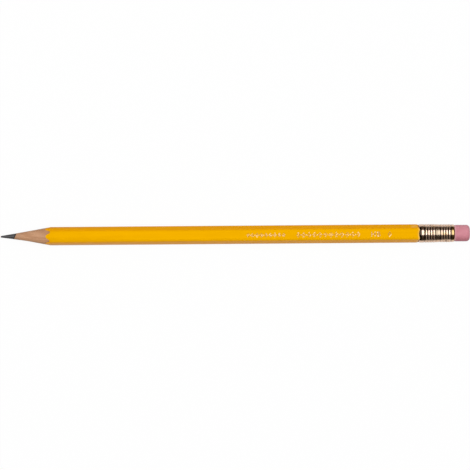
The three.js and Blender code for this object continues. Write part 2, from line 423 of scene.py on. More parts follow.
def yellow_lacquer(graph):
    """Gloss lacquer, streaky, painted lighter on top, polished by fingers on its -Y side, which is painted
    darker with shade, and worn at the ferrule.
    """
    streaks = graph.noise(30 * MM, 0.7 * MM)
    clouds = graph.noise(8 * MM, 3 * MM)
    peel = graph.noise(0.9 * MM, 0.5 * MM, detail=3.0)
    scuffs = graph.noise(6 * MM, 0.15 * MM, detail=4.0, turn=(0.0, 0.0, 0.2))
    tone = ((streaks + clouds) / 2).rise(0.35, 0.65)
    deep = graph.mix(tone, "#EDA100", "#F1A500")
    light = graph.mix(tone, "#EFAC00", "#F3B000")
    # painted light: the paint is lighter towards the top
    lighter_top = height_share(graph, FLAT_RADIUS).rise(*LIGHTER_TOP_UP)
    paint = graph.mix(lighter_top, deep, light)
    rubbed = graph.spot(RUBBED_PLACE, RUBBED_SIZE) * peel.rise(0.3, 0.55)
    paint = graph.mix(0.45 * rubbed, paint, "#F0C57C")
    chipped = graph.stored("end_wear") * peel.rise(0.2, 0.6) * (1 - far_side(graph))
    paint = graph.mix(0.7 * chipped, paint, "#FBD58C")
    near_side = (0 - graph.place(Y)).rise(*HELD_SHADED_SIDE)
    # painted shade: darker, more orange paint towards -Y
    paint = graph.mix(0.22 * near_side, paint, "#D98F00")
    dull = scuffs.rise(0.6, 0.75)
    return {
        "Base Color": paint,
        "Coat Weight": near_side,
        "Coat IOR": 1.31,
        "Coat Roughness": 0.3,
        "Roughness": 0.36 + 0.06 * clouds + 0.1 * dull + 0.2 * rubbed,
        "IOR": 1.15,
        "Specular Tint": colour("#FFDC00"),
        "Normal": graph.bump(peel + 0.3 * streaks, 0.0006 * MM),
    }


def cut_lacquer(graph):
    """The section of the lacquer's coats: pale ground under yellow, dark with grime and painted shade on
    the ferrule's far side.
    """
    unevenness = graph.noise(0.2 * MM, 0.2 * MM) - 0.5
    ragged = graph.stored("coat_depth") + 0.25 * unevenness
    coats = graph.mix(ragged.rise(0.05, 0.5), "#E9BE72", "#FFC62E")
    grain = graph.noise(0.3 * MM, 0.1 * MM, detail=3.0)
    at_ferrule = graph.place(X).over(0.0)
    # grime and painted shade in the gap at the ferrule's far side
    grime_and_shade = at_ferrule * far_side(graph)
    return {
        "Base Color": graph.mix(0.9 * grime_and_shade, coats, "#4A2E10"),
        "Roughness": 0.45 + 0.2 * grain,
        "Normal": graph.bump(grain, 0.004 * MM),
    }


def cedar(graph):
    """Bare cedar: growth bands, fibres, pores and marks of the blade, dark with dirt and painted shade at
    the paint, and dirty at the lead.
    """
    across = 0.8 * graph.place(Y) + 0.6 * graph.place(Z)
    band_width = 1.3 * MM
    wobble = graph.noise(25 * MM, 2.5 * MM)
    bands = ((across / band_width + 1.6 * wobble) * FULL_TURN).sine()
    fibres = graph.noise(4 * MM, 0.14 * MM, detail=4.0)
    pores = graph.noise(1.6 * MM, 0.09 * MM).rise(0.6, 0.72)
    flecks = graph.noise(1.1 * MM, 0.5 * MM, detail=3.0)
    blade = graph.noise(0.16 * MM, 2.5 * MM)
    tone = 0.16 * bands + 0.5 * fibres + 0.5 * flecks
    wood = graph.mix(tone.rise(0.2, 0.8), "#B9865F", "#CB9A74")
    wood = graph.mix(0.55 * pores, wood, "#8A5A3C")
    # dirt and painted shade in the corners where the wood meets the paint
    dirt = graph.stored("paint_dirt") * graph.noise(0.7 * MM, 0.4 * MM).rise(0.2, 0.6)
    wood = graph.mix(dirt, wood, "#7B4F2C")
    smudge = 1 - (graph.place(X) - TIP_X).rise(*SMUDGE_FROM_TIP)
    wood = graph.mix(0.35 * smudge * flecks.rise(0.2, 0.6), wood, "#6E5A4E")
    return {
        "Base Color": wood,
        "Roughness": 0.62 + 0.2 * fibres,
        "Normal": graph.bump(0.6 * fibres + 0.5 * blade - 0.6 * pores, 0.02 * MM),
    }


def sealed_shoulder(graph):
    """The bevel at the ferrule, cut through the coats into pale wood, dark with grime and painted shade at
    the rim.
    """
    fibres = graph.noise(0.5 * MM, 0.2 * MM, detail=3.0)
    to_rim = FERRULE_START_X - graph.place(X) - FAR_GRIME_AND_SHADE * far_side(graph)
    bare = graph.mix(fibres, "#E0B25C", "#F6CF80")
    # grime and painted shade next to the ferrule's rim
    grime_and_shade = graph.mix(fibres, "#2E1C0C", "#5C3E20")
    return {
        "Base Color": graph.mix(to_rim.rise(*BEVEL_GRIME_AND_SHADE), grime_and_shade, bare),
        "Roughness": 0.5 + 0.2 * fibres,
        "Normal": graph.bump(fibres, 0.01 * MM),
    }


def dried_glue(graph):
    """Old glue, dark with the graphite that sharpening rubs into it."""
    clouds = graph.noise(1.5 * MM, 0.2 * MM, detail=3.0)
    return {
        "Base Color": graph.mix(clouds.rise(0.35, 0.7), "#1E1815", "#45372C"),
        "Roughness": 0.5 + 0.2 * clouds,
        "Normal": graph.bump(clouds, 0.005 * MM),
    }


def graphite(graph):
    """Sharpened lead: a dull grey sheen, streaks down the point and the blade's fine rings."""
    streaks = graph.noise(2.5 * MM, 0.12 * MM, detail=4.0)
    rings = graph.noise(0.1 * MM, 1.5 * MM)
    grains = graph.noise(0.08 * MM, 0.08 * MM)
    tone = 0.5 * streaks + 0.3 * rings + 0.2 * grains
    return {
        "Base Color": graph.mix(tone.rise(0.3, 0.7), "#383636", "#5E5B5B"),
        "Metallic": 0.25,
        "Roughness": 0.36 + 0.16 * streaks,
        "Normal": graph.bump(streaks + 0.6 * rings, 0.012 * MM),
    }


def brass(graph):
    """Rolled brass: bright on the beads, dirt and painted shade between them, dull at the wood with a
    painted dark reflection at its rim, a painted cream highlight on the smooth band and a painted golden
    highlight at the eraser.
    """
    rings = graph.noise(0.05 * MM, 2 * MM, detail=3.0)
    patches = graph.noise(2.2 * MM, 1.6 * MM, detail=4.0)
    specks = graph.noise(0.15 * MM, 0.15 * MM).rise(0.66, 0.75)
    station = graph.place(X)
    up = height_share(graph, WOOD_CREST)
    on_top = up.rise(*VALLEY_UP)
    from_band = station - (FERRULE_START_X + WOOD_COLLAR + BEADS_IN_A_BAND * BEAD_PITCH)
    in_band = from_band.over(0.0) * (1 - from_band.over(SMOOTH_BAND))
    # painted highlight: a cream tint on top of the smooth band
    band_highlight = in_band * up.rise(*BAND_HIGHLIGHT_UP)
    bright = graph.mix(patches.rise(0.45, 0.75), "#FDD9BE", "#F2C794")
    # painted highlight: a golden tint on the collar's upper side only
    gold_highlight = (FERRULE_END_X - station).rise(*GOLD_HIGHLIGHT_FROM_END)
    bright = graph.mix(0.85 * gold_highlight * on_top, bright, "#C9A35A")
    bright = graph.mix(band_highlight, bright, "#FAE0BE")
    # dirt and painted shade between the beads, stronger on top
    dirt = (1 - graph.stored("polish")) * (0.5 + 0.5 * on_top)
    metal = graph.mix(dirt, bright, "#3A2A1B")
    metal = graph.mix(0.5 * specks, metal, "#8C6A3C")
    # painted reflection: a dark band on the upper side of the wood's rim
    rim_dark_reflection = up.rise(*RIM_DARK_UP) * (1 - (station - FERRULE_START_X).rise(*RIM_DARK_REACH))
    metal = graph.mix(0.95 * rim_dark_reflection, metal, "#22160C")
    # painted highlight: the band's top is darker towards the wood
    highlight_dimming = 0.7 - 0.26 * (from_band / SMOOTH_BAND).rise(*BAND_HIGHLIGHT_FADE)
    metal = graph.mix(highlight_dimming * band_highlight, metal, "#6C5A44")
    return {
        "Base Color": metal,
        "Metallic": 1 - 0.17 * graph.stored("worn").rise(0.78, 1.0),
        "Roughness": 0.125 + 0.1 * patches + 0.06 * rings + 0.15 * specks + 0.06 * in_band,
        "Normal": graph.bump(rings, 0.0012 * MM),
    }


def pink_rubber(graph):
    """Matte, grainy rubber, paler by the rim, painted darker with shade towards -Y and smudged on its end.
    """
    grains = graph.noise(0.16 * MM, 0.16 * MM, detail=3.0)
    clouds = graph.noise(1.8 * MM, 1.8 * MM, detail=3.0)
    station = graph.place(X)
    tone = 0.5 * grains + 0.5 * clouds
    rubber = graph.mix(tone.rise(0.3, 0.7), "#CB7F8A", "#D68E99")
    near_side = ((0 - graph.place(Y)) / HEAD_RADIUS).rise(*ERASER_SHADED_SIDE)
    # painted shade: darker rubber towards -Y
    rubber = graph.mix(0.6 * near_side, rubber, "#AC5A65")
    pale_rim = 1 - (station - HEAD_START_X).rise(*PALE_RIM_REACH)
    rubber = graph.mix(0.4 * pale_rim, rubber, "#E6B7BC")
    smudge = station.rise(ERASER_END_X - ERASER_SMUDGE, ERASER_END_X) * clouds.rise(0.45, 0.7)
    rubber = graph.mix(0.25 * smudge, rubber, "#8E6A70")
    return {
        "Base Color": rubber,
        "Roughness": 0.72 + 0.15 * grains,
        "IOR": 1.45,
        "Sheen Weight": 0.3,
        "Sheen Roughness": 0.4,
        "Normal": graph.bump(grains + 0.5 * clouds, 0.02 * MM),
    }


def pale_foil(graph):
    """Hot-stamped foil, pale where it is whole and brown where it is pressed thin."""
    wear = graph.noise(0.7 * MM, 0.55 * MM).rise(0.41, 0.56)
    return {
        "Base Color": graph.mix(wear, "#F6D8A8", "#A2661A"),
        "Metallic": 0.3,
        "Roughness": 0.35 + 0.2 * wear,
        "Normal": graph.bump(wear, 0.003 * MM),
    }


# Meshes

def finish_mesh(mesh, sharp_degrees=SHARP_DEGREES):
    """Closes seams and poles, turns the faces outwards and shades all but the sharp edges smooth."""
    work = bmesh.new()
    work.from_mesh(mesh)
    bmesh.ops.remove_doubles(work, verts=work.verts, dist=WELD)
    bmesh.ops.dissolve_degenerate(work, edges=work.edges, dist=WELD)
    bmesh.ops.recalc_face_normals(work, faces=work.faces)
    work.to_mesh(mesh)
    work.free()
    mesh.shade_smooth()
    mesh.set_sharp_from_angle(angle=math.radians(sharp_degrees))
    return mesh


def ring_mesh(points, closed_rows=False, row_materials=None, stored=None):
    """A mesh of rings of points: each ring joins up with itself and with the next ring.

    closed_rows joins the last ring to the first. row_materials gives each band of faces its material,
    and stored holds named values for every point.
    """
    rows, columns = points.shape[:2]
    spans = rows if closed_rows else rows - 1
    row = np.arange(spans)[:, None]
    column = np.arange(columns)[None, :]
    next_row = (row + 1) % rows
    next_column = (column + 1) % columns
    corners = (
        row * columns + column,
        row * columns + next_column,
        next_row * columns + next_column,
        next_row * columns + column,
    )
    faces = np.stack(np.broadcast_arrays(*corners), axis=-1).reshape(-1, len(corners))
    mesh = bpy.data.meshes.new("rings")
    mesh.from_pydata(points.reshape(-1, 3).tolist(), [], faces.tolist())
    if row_materials is not None:
        mesh.polygons.foreach_set("material_index", np.repeat(row_materials, columns).astype(np.int32))
    for key, values in (stored or {}).items():
        layer = mesh.attributes.new(key, "FLOAT", "POINT")
        layer.data.foreach_set("value", values.reshape(-1).astype(np.float32))
    return finish_mesh(mesh)


def full_circle(columns):
    return np.linspace(0, FULL_TURN, columns, endpoint=False)


def round_points(station, radius, angle):
    """Points from stations along X, radii and angles round the axis."""
    station, radius, angle = np.broadcast_arrays(station, radius, angle)
    return np.stack([station, radius * np.cos(angle), AXIS_Z + radius * np.sin(angle)], axis=-1)


def wave(angle, beats):
    """A closed wavy line round the pencil."""
    return sum(height * np.sin(count * angle + phase) for count, height, phase in beats)


def ring(station, radius):
    """The stations and the radii of a ring of points, one of each for every column."""
    return np.stack(np.broadcast_arrays(station, radius))


def spread(first, last, count, crowding=1.0):
    """This many rings from the first to the last."""
    share = np.linspace(0, 1, count)[:, None, None] ** crowding
    return (1 - share) * first + share * last


# Sections and stations

def corner_turn(flat, corner):
    """The angle at the axis from a corner to where its rounding meets the flat."""
    return HALF_SECTOR - math.atan((flat - corner) * math.tan(HALF_SECTOR) / flat)


def from_corner(angle):
    return np.abs((angle + HALF_SECTOR) % (2 * HALF_SECTOR) - HALF_SECTOR)


def hexagon_radius(angle, inset):
    """The distance from the axis to the rounded hexagon, this far inside the lacquer's face."""
    flat = FLAT_RADIUS - inset
    corner = CORNER_RADIUS - inset
    reach = (flat - corner) / math.cos(HALF_SECTOR)
    turn = from_corner(angle)
    on_corner = reach * np.cos(turn) + np.sqrt(np.maximum(corner**2 - (reach * np.sin(turn))**2, 0))
    on_flat = flat / np.cos(HALF_SECTOR - turn)
    return np.where(turn < corner_turn(flat, corner), on_corner, on_flat)


def hexagon_angles():
    """Angles round the pencil, closer together on its corners, that begin at a corner's middle."""
    sector = 2 * HALF_SECTOR
    turn = corner_turn(FLAT_RADIUS, CORNER_RADIUS)
    leaving = np.linspace(0, turn, CORNER_COLUMNS // 2, endpoint=False)
    face = np.linspace(turn, sector - turn, FACE_COLUMNS, endpoint=False)
    coming = np.linspace(sector - turn, sector, CORNER_COLUMNS // 2, endpoint=False)
    angles = np.concatenate([leaving, face, coming])
    return np.concatenate([angles + side * sector for side in range(SIDES)])


def sharpened_station(radius, angle):
    """Where the sharpened cone, which is a little wavy, reaches a radius."""
    return APEX_X + radius / (math.tan(SHARPENED_HALF_ANGLE) * (1 + wave(angle, SHARPENING_WAVES)))


def cone_hollow(share, angle):
    """How deep the blade dug in, this share of the way from the lead to the paint."""
    bite = np.sin(math.pi * share**HOLLOW_SKEW)**2
    return HOLLOW_DEPTH * bite * np.maximum(-np.cos(angle), 0)


def neck_radius(angle):
    """How far out the wood reaches where it enters the ferrule."""
    return np.minimum(NECK_RADIUS, hexagon_radius(angle, LACQUER_THICKNESS + BEVEL_DEPTH))


def shoulder_station(radius, angle):
    """Where the bevel at the ferrule, from the paint's uneven edge to the neck, reaches a radius."""
    edge = FERRULE_START_X - PAINT_END_GAP + wave(angle, PAINT_END_WAVES)
    side = hexagon_radius(angle, 0)
    share = (side - radius) / (side - neck_radius(angle))
    return edge + share * (SHOULDER_X - edge)


def core_radius(angle):
    """The lead's side, seen from the axis that the point was sharpened round."""
    return CORE_SHIFT * np.cos(angle) + np.sqrt(CORE_RADIUS**2 - (CORE_SHIFT * np.sin(angle))**2)


def glue_radius(angle):
    return core_radius(angle) + CONTACT + GLUE_THICKNESS


def groove_radius(angle):
    return glue_radius(angle) + CONTACT


def wood_radius(angle):
    return hexagon_radius(angle, LACQUER_THICKNESS + CONTACT)


# Lead, case and eraser

def lead_mesh():
    """The lead: a rounded tip, a worn point and the core's far end."""
    angle = full_circle(CORE_COLUMNS)
    side = core_radius(angle)
    wood_edge = ring(sharpened_station(side, angle), side)
    lean = np.linspace(0, math.pi / 2 - SHARPENED_HALF_ANGLE, TIP_ROWS)[:, None]
    tip_radius = POINT_RADIUS * np.sin(lean) * np.ones_like(angle)
    tip = ring(TIP_X + POINT_RADIUS - POINT_RADIUS * np.cos(lean), tip_radius).swapaxes(0, 1)
    cone = spread(tip[-1], wood_edge, CONE_ROWS)[1:]
    share = np.linspace(0, 1, CONE_ROWS)[1:, None]
    cone[:, 1] += POINT_BULGE * (1 - share) * (1 - np.exp(-share / POINT_SWELL))
    rings = np.concatenate([tip, cone, [ring(LEAD_END_X, side), ring(LEAD_END_X, 0 * side)]])
    station, radius = rings.swapaxes(0, 1)
    points = round_points(station, radius, angle)
    from_wood = np.clip((wood_edge[0] - station) / (wood_edge[0] - TIP_X), 0, 1)
    points[..., Y] -= POINT_SHIFT * from_wood
    return ring_mesh(points)


def seam_points(station, radius, angle, half_turn):
    """Points of a slat's face, whose first and last column lie on the flat seam with the other slat."""
    turned = np.broadcast_to(angle, radius.shape).copy()
    lean = np.arcsin((GLUE_THICKNESS / 2 + CONTACT) / radius)
    turned[:, 0] = half_turn + lean[:, 0]
    turned[:, -1] = half_turn + math.pi - lean[:, -1]
    return round_points(station, radius, turned)


def slat_mesh(half_turn):
    """Half of the hexagonal case: groove, cone, bevel and tenon. half_turn is 0 for the upper slat."""
    columns = hexagon_angles()
    angle = np.append(columns[columns < math.pi - SAME_ANGLE], math.pi) + half_turn
    groove = groove_radius(angle)
    side = wood_radius(angle)
    tenon = np.full_like(angle, TENON_RADIUS)
    cone_front = ring(sharpened_station(groove, angle), groove)
    cone_back = ring(sharpened_station(side, angle), side)
    bevel_front = ring(shoulder_station(side, angle), side)
    bevel_back = ring(SHOULDER_X, neck_radius(angle))
    cone = spread(cone_front, cone_back, CONE_ROWS)
    cone[:, 1] -= cone_hollow(np.linspace(0, 1, CONE_ROWS)[:, None], angle)
    rings = np.concatenate([
        cone,
        spread(cone_back, bevel_front, SLAT_ROWS)[1:],
        spread(bevel_front, bevel_back, BEVEL_ROWS)[1:],
        spread(ring(SHOULDER_X + NECK_LENGTH, tenon), ring(SLAT_END_X, tenon), TENON_ROWS),
        [ring(SLAT_END_X, groove)],
    ])
    station, radius = rings.swapaxes(0, 1)
    outer = seam_points(station, radius, angle, half_turn)
    inner = seam_points(station, np.broadcast_to(groove, radius.shape), angle, half_turn)
    points = np.concatenate([outer, inner[:, ::-1]], axis=1)
    # dirt and painted shade on the wood along the paint's edge, strongest at the corners
    from_paint = np.maximum(cone_back[0] - station, 0)
    at_corner = np.clip(1 - from_corner(angle) / PAINT_DIRT_SHADE_CORNER, 0, 1)
    strength = PAINT_DIRT_SHADE_ON_FLATS + (1 - PAINT_DIRT_SHADE_ON_FLATS) * at_corner
    dirt = np.exp(-from_paint / PAINT_DIRT_SHADE_LENGTH) * strength
    dirt = np.concatenate([dirt, 0 * dirt], axis=1)
    on_bevel = np.zeros(len(station) - 1)
    bevel_first = CONE_ROWS + SLAT_ROWS - 2
    on_bevel[bevel_first:bevel_first + BEVEL_ROWS - 1] = 1
    return ring_mesh(points, row_materials=on_bevel, stored={"paint_dirt": dirt})


def glue_mesh():
    """The glue round the lead, as a sleeve, and in the seam on both sides, as two thin strips."""
    angle = full_circle(CORE_COLUMNS)
    outer = glue_radius(angle)
    inner = core_radius(angle) + CONTACT
    rings = np.array([
        ring(sharpened_station(outer, angle), outer),
        ring(SLAT_END_X, outer),
        ring(SLAT_END_X, inner),
        ring(sharpened_station(inner, angle), inner),
    ])
    station, radius = rings.swapaxes(0, 1)
    work = bmesh.new()
    work.from_mesh(ring_mesh(round_points(station, radius, angle), closed_rows=True))
    for side in (0.0, math.pi):
        work.from_mesh(glue_strip(side))
    mesh = bpy.data.meshes.new("glue")
    work.to_mesh(mesh)
    work.free()
    return mesh


def glue_strip(side):
    """The glue in the seam on one side of the pencil, which follows the cone, the bevel and the tenon."""
    near = glue_radius(side) + CONTACT
    far = wood_radius(side)
    share = np.linspace(0, 1, CONE_ROWS)
    cone_radius = near + share * (far - near)
    outline = (
        *zip(sharpened_station(cone_radius, side), cone_radius - cone_hollow(share, side)),
        (shoulder_station(far, side), far),
        (SHOULDER_X, neck_radius(side)),
        (SHOULDER_X + NECK_LENGTH, TENON_RADIUS),
        (SLAT_END_X, TENON_RADIUS),
        (SLAT_END_X, near),
    )
    half = GLUE_THICKNESS / 2
    facing = math.cos(side)
    rings = []
    for station, reach in outline:
        corners = ((reach, half), (near, half), (near, -half), (reach, -half))
        rings.append([(station, facing * out, AXIS_Z + up) for out, up in corners])
    return ring_mesh(np.array(rings))


def lacquer_mesh():
    """The coat as a closed shell: outer face, cut at the ferrule, inner face, cut by the sharpener."""
    angle = hexagon_angles()
    outer = hexagon_radius(angle, 0)
    inner = hexagon_radius(angle, LACQUER_THICKNESS)
    front_inner = ring(sharpened_station(inner, angle), inner)
    front_outer = ring(front_inner[0] + (outer - inner) / math.tan(LACQUER_CUT_ANGLE), outer)
    back_outer = ring(shoulder_station(outer, angle), outer)
    back_inner = ring(shoulder_station(inner, angle), inner)
    rings = np.concatenate([
        spread(front_outer, back_outer, LACQUER_ROWS, LACQUER_CROWDING),
        spread(back_outer, back_inner, LACQUER_CUT_ROWS)[1:],
        spread(back_inner, front_inner, LACQUER_INNER_ROWS)[1:],
        spread(front_inner, front_outer, LACQUER_CUT_ROWS)[1:-1],
    ])
    station, radius = rings.swapaxes(0, 1)
    depth = (radius - inner) / (outer - inner)
    wear = np.exp(-np.abs(back_outer[0] - station) / END_WEAR_LENGTH)
    on_cut = np.zeros(len(station))
    on_cut[LACQUER_ROWS - 1:LACQUER_ROWS + LACQUER_CUT_ROWS - 2] = 1
    on_cut[len(station) - LACQUER_CUT_ROWS + 1:] = 1
    points = round_points(station, radius, angle)
    values = {"coat_depth": depth, "end_wear": wear}
    return ring_mesh(points, closed_rows=True, row_materials=on_cut, stored=values)


def eraser_mesh():
    """The plug: a shank in the ferrule and a head that swells above the rim, with a rounded edge."""
    angle = full_circle(ERASER_COLUMNS)
    edge_start = ERASER_END_X - ERASER_EDGE_RADIUS
    from_rim = np.linspace(0, 1, ERASER_SIDE_ROWS) ** 2 * (edge_start - HEAD_START_X)
    side_radius = HEAD_RADIUS - ERASER_NECK * np.exp(-from_rim / ERASER_NECK_LENGTH)
    bend = np.linspace(0, math.pi / 2, ERASER_EDGE_ROWS)[1:]
    flat = side_radius[-1] - ERASER_EDGE_RADIUS
    face_share = np.linspace(1, 0, ERASER_FACE_ROWS)[1:]
    station = np.concatenate([
        [SHANK_START_X, SHANK_START_X, HEAD_START_X],
        HEAD_START_X + from_rim,
        edge_start + ERASER_EDGE_RADIUS * np.sin(bend),
        np.full_like(face_share, ERASER_END_X),
    ])
    radius = np.concatenate([
        [0, SHANK_RADIUS, SHANK_RADIUS],
        side_radius,
        flat + ERASER_EDGE_RADIUS * np.cos(bend),
        flat * face_share,
    ])
    uneven = 1 - ERASER_UNEVENNESS * (1 + wave(angle, ERASER_WAVES)) / 2
    points = round_points(station[:, None], radius[:, None] * uneven, angle)
    return ring_mesh(points)


# Ferrule and foil, grown by geometry trees

def grow(shape, numbers, finish):
    """The plain mesh of a geometry tree that makes a shape from these numbers and a finish, its inputs."""
    tree = bpy.data.node_groups.new(shape.__name__, "GeometryNodeTree")
    tree.interface.new_socket("Geometry", in_out="OUTPUT", socket_type="NodeSocketGeometry")
    for number in numbers:
        tree.interface.new_socket(number, in_out="INPUT", socket_type="NodeSocketFloat")
    tree.interface.new_socket("Finish", in_out="INPUT", socket_type="NodeSocketMaterial")
    graph = Graph(tree)
    entry = graph.node("NodeGroupInput").socket.node
    size = {socket.name: Value(graph, socket) for socket in entry.outputs if socket.name}
    made = graph.node("GeometryNodeRealizeInstances", None, {"Geometry": shape(graph, size)})
    made = graph.node("GeometryNodeSetMaterial", None, {"Geometry": made, "Material": size["Finish"]})
    graph.node("NodeGroupOutput", None, {"Geometry": made})
    return grown_mesh(tree, {**numbers, "Finish": finish})


def grown_mesh(tree, values):
    """The mesh that a geometry tree makes from these values of its inputs."""
    seed = add_object("seed", bpy.data.meshes.new("seed"))
    modifier = seed.modifiers.new("grow", "NODES")
    modifier.node_group = tree
    for item in tree.interface.items_tree:
        if item.in_out == "INPUT":
            modifier[item.identifier] = values[item.name]
    mesh = plain_mesh(seed)
    seed.modifiers.remove(modifier)
    bpy.data.objects.remove(seed)
    return mesh


def plain_mesh(holder):
    """The mesh of an object with its modifiers and text worked out."""
    depsgraph = bpy.context.evaluated_depsgraph_get()
    return bpy.data.meshes.new_from_object(holder.evaluated_get(depsgraph), depsgraph=depsgraph)


def beaded_tube(graph, size):
    """A tube with a collar, beads, a smooth band, beads and a collar, its rims rounded and tucked in."""
    outer = tube_skin(graph, size, FERRULE_OUTER_ROWS, 1)
    outer = graph.node("GeometryNodeFlipFaces", None, {"Mesh": outer})
    inner = tube_skin(graph, size, FERRULE_INNER_ROWS, -1)
    tube = graph.node("GeometryNodeJoinGeometry", None, {"Geometry": [outer, inner]})
    return graph.node("GeometryNodeMergeByDistance", None, {"Geometry": tube, "Distance": TUBE_WELD})


def tube_skin(graph, size, rows, side):
    """The tube's outer face, for a side of 1, or its inner one, for -1, as a grid rolled round the axis."""
    flat_sheet = {"Size X": 1.0, "Size Y": 1.0, "Vertices X": rows, "Vertices Y": FERRULE_COLUMNS + 1}
    sheet = graph.node("GeometryNodeMeshGrid", None, flat_sheet)
    spot = graph.node("GeometryNodeInputPosition")
    share = graph.along(spot, X) + 0.5
    turn = (graph.along(spot, Y) + 0.5) * FULL_TURN
    share = share - FERRULE_CROWDING / FULL_TURN * (share * FULL_TURN).sine()
    length = share * size["Length"]
    to_end = size["Length"] - length
    half_wall = size["Wall"] / 2
    short_of_full = (1 - length.least(to_end) / half_wall).most(0.0)
    half = half_wall * (1 - short_of_full * short_of_full).most(0.0).root()
    face, polish, worn = tube_face(size, length)
    rim_tuck = (1 - length / size["Rim Tuck Length"]).most(0.0)
    end_tuck = (1 - to_end / size["End Tuck Length"]).most(0.0)
    tucked = size["Rim Tuck"] * rim_tuck * rim_tuck + size["End Tuck"] * end_tuck * end_tuck
    middle = face - half_wall - tucked
    for from_tip, degrees, shape in DENTS:
        from_middle = length + size["Start"] - TIP_X - from_tip
        pressed = dent(size, from_middle, turn - math.radians(degrees), shape)
        middle = middle - shape["depth"] * pressed
        # dirt and painted shade in a dimple
        polish = polish * (1 - shape["dirt"] * pressed)
    radius = middle + side * half
    height = size["Axis Height"] + radius * turn.sine()
    place = graph.vector(size["Start"] + length, radius * turn.cosine(), height)
    for name, value in (("polish", polish), ("worn", worn)):
        marked = {"Geometry": sheet, "Name": name, "Value": value}
        sheet = graph.node("GeometryNodeStoreNamedAttribute", None, marked)
    return graph.node("GeometryNodeSetPosition", None, {"Geometry": sheet, "Position": place})


def tube_face(size, length):
    """The outer face's radius this far along the tube, how bright its metal is, less the dirt and painted
    shade in its valleys, and how worn its beads.
    """
    band = size["Beads"] * size["Bead Pitch"]
    first = size["Wood Collar"]
    second = first + band + size["Smooth Band"]
    from_smooth = length - first - band
    wood_level, in_wood_beads = bead_level(size, length - first, "Collar Flank", "Long Flank")
    eraser_level, in_eraser_beads = bead_level(size, length - second, "Short Flank", "Collar Flank")
    level = wood_level * eraser_level
    step = (from_smooth / size["Smooth Band"]).rise(*CREST_STEP)
    crest = size["Wood Crest"] + step * (size["Eraser Crest"] - size["Wood Crest"])
    beaded = in_wood_beads + in_eraser_beads
    before_beads = (first - length).over(0.0)
    in_smooth = from_smooth.over(0.0) * (second - length).over(0.0)
    shine = 1 - (1 - COLLAR_SHINE) * before_beads - (1 - SMOOTH_SHINE) * in_smooth
    collars = 1 - beaded - in_smooth
    beads_unshaded = level ** (1 + collars)
    near_wood = SMOOTH_VALLEY_SHINE + (1 - SMOOTH_VALLEY_SHINE) * wood_level
    smooth_unshaded = near_wood * eraser_level * eraser_level
    polish = shine * (beads_unshaded + in_smooth * (smooth_unshaded - beads_unshaded))
    swell = size["Bead Height"] - size["Plain Drop"] * (1 - beaded - before_beads)
    return crest - size["Bead Height"] + level * swell, polish, level * beaded


def bead_level(size, length, flank_before, flank_after):
    """0 in the valleys of a band of beads that starts at 0, 1 on their crests and away from the band.

    The second value is 1 in the band and 0 away from it.
    """
    past_band = length - size["Beads"] * size["Bead Pitch"]
    phase = (length / size["Bead Pitch"]).past_whole()
    crest = 1 - abs(2 * phase - 1) ** BEAD_ROUNDNESS
    before = (1 + length / size[flank_before]).most(0.0)
    after = (1 - past_band / size[flank_after]).most(0.0)
    is_before = (0 - length).over(0.0)
    is_after = past_band.over(0.0)
    in_band = 1 - is_before - is_after
    return in_band * crest + is_before * (1 - before * before) + is_after * (1 - after * after), in_band


def dent(size, from_middle, turn, shape):
    """1 in the middle of a dent, falling to 0 with the distance along the tube and the turn round it."""
    along = from_middle / shape["along"]
    apart = (2 - 2 * turn.cosine()).root()
    around = apart * size["Wood Crest"] / shape["around"]
    return (0 - along * along - around * around).exponential()


def ferrule_mesh(finish):
    return finish_mesh(grow(beaded_tube, FERRULE_SIZES, finish), FERRULE_SHARP_DEGREES)


def foil_row(graph, size):
    """Lozenge outlines in a row along X, with a dot in the middle of each and between them."""
    half_tall = size["Tall"] / 2
    diamond = {"Width": size["Width"], "Bottom Height": half_tall, "Top Height": half_tall}
    outline = graph.node("GeometryNodeCurvePrimitiveQuadrilateral", {"mode": "KITE"}, diamond)
    section = {"Width": size["Stroke"], "Height": size["Thickness"]}
    profile = graph.node("GeometryNodeCurvePrimitiveQuadrilateral", {"mode": "RECTANGLE"}, section)
    lozenge = graph.node("GeometryNodeCurveToMesh", None, {"Curve": outline, "Profile Curve": profile})
    disc = {"Vertices": DOT_SIDES, "Radius": size["Dot"], "Depth": size["Thickness"]}
    dot = graph.node("GeometryNodeMeshCylinder", None, disc)
    first = graph.vector(size["Start"], size["Centre Y"], size["Height Z"])
    lozenges = row_of(graph, lozenge, first, size["Count"], size["Pitch"])
    dots = row_of(graph, dot, first, size["Count"] * 2 - 1, size["Pitch"] / 2)
    return graph.node("GeometryNodeJoinGeometry", None, {"Geometry": [lozenges, dots]})


def row_of(graph, mark, first, count, pitch):
    """Copies of a mark along X."""
    line = {"Count": count, "Start Location": first, "Offset": graph.vector(pitch, 0.0, 0.0)}
    points = graph.node("GeometryNodeMeshLine", None, line)
    return graph.node("GeometryNodeInstanceOnPoints", None, {"Points": points, "Instance": mark})


def lozenge_mesh(row, finish):
    numbers = {
        "Start": TIP_X + row["from_tip"] + row["width"] / 2,
        "Centre Y": FOIL_CENTRE_Y,
        "Height Z": FOIL_Z,
        "Count": float(row["count"]),
        "Pitch": row["pitch"],
        "Width": row["width"],
        "Tall": row["tall"],
        "Stroke": FOIL_STROKE,
        "Thickness": FOIL_THICKNESS,
        "Dot": DOT_RADIUS,
    }
    return finish_mesh(grow(foil_row, numbers, finish))


def grade_mesh():
    """The hardness grade, in plain capitals."""
    words = bpy.data.curves.new("foil_grade", "FONT")
    words.body = GRADE
    words.size = GRADE_HEIGHT / CAPITAL_SHARE
    words.space_character = GRADE_SPACING
    words.extrude = FOIL_THICKNESS / 2
    words.align_y = "CENTER"
    holder = add_object("foil_grade_text", words)
    mesh = plain_mesh(holder)
    bpy.data.objects.remove(holder)
    mesh.transform(Matrix.Translation((TIP_X + GRADE_FROM_TIP, FOIL_CENTRE_Y, FOIL_Z)))
    return finish_mesh(mesh)


# Stage

def ray(graph, kind):
    """1 for rays of this kind and 0 for others."""
    return graph.node("ShaderNodeLightPath", output=kind)


